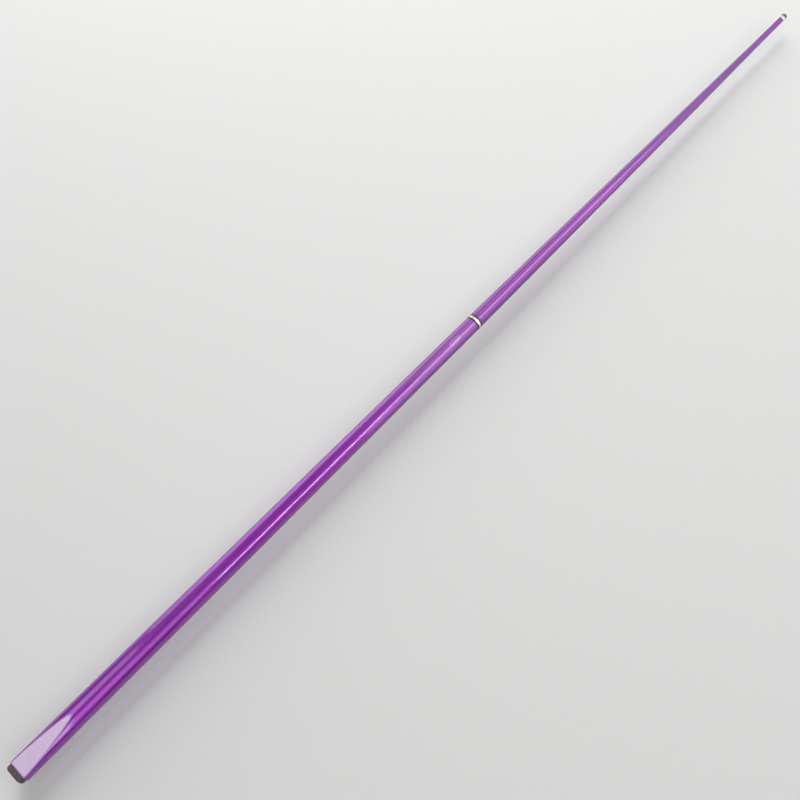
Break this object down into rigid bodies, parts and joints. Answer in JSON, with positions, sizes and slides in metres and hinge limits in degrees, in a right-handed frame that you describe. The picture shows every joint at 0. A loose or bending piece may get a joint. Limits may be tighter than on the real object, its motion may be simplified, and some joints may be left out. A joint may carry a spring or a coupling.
{
  "type": "pool cue",
  "caption": "Long slim tapered cue in two halves joined by a screw joint, with a rubber bumper, a flat on the butt, brass collars, brass ferrule and leather tip.",
  "frame": {"origin": "centre of the rubber bumper's flat end face", "axes": "+X along the cue from butt to tip, +Z out of the flat on the butt, +Y to the left looking along +X with the flat up"},
  "size_m": [1.448, 0.028, 0.0277],
  "materials": {
    "bumper_rubber": "satin, lightly worn",
    "steel": "turned",
    "plug_wood": "bare",
    "purple_lacquer": "metallic purple lacquer under gloss clear coat",
    "black_trim": "gloss",
    "brass_bright": "polished, pale",
    "brass_joint": "machined",
    "tip_leather": "pressed, chalk-dulled"
  },
  "bodies": {
    "butt_half": {"bumper": "bumper_rubber", "bumper_screw": "steel", "butt_plug": "plug_wood", "weight_bar": "steel", "butt": "purple_lacquer", "butt_trim_ring": "black_trim", "butt_collar": "brass_bright", "joint_pin": "brass_joint"},
    "shaft_slider": {"shaft_collar": "brass_bright"},
    "shaft_half": {"shaft_trim_ring": "black_trim", "joint_socket": "brass_joint", "shaft": "purple_lacquer", "ferrule": "brass_bright", "leather_tip": "tip_leather"}
  },
  "joints": [
    {"name": "shaft_travel", "type": "slide", "parent": "butt_half", "child": "shaft_slider", "axis": [1, 0, 0], "range_m": [0, 0.024]},
    {"name": "shaft_unscrew", "type": "hinge", "parent": "shaft_slider", "child": "shaft_half", "pos_m": [0.7395, 0, 0], "axis": [1, 0, 0], "range_deg": [0, 2882]}
  ],
  "couplings": [
    {"joint": "shaft_unscrew", "follows": "shaft_travel", "rad_per_m": 2094.4}
  ]
}
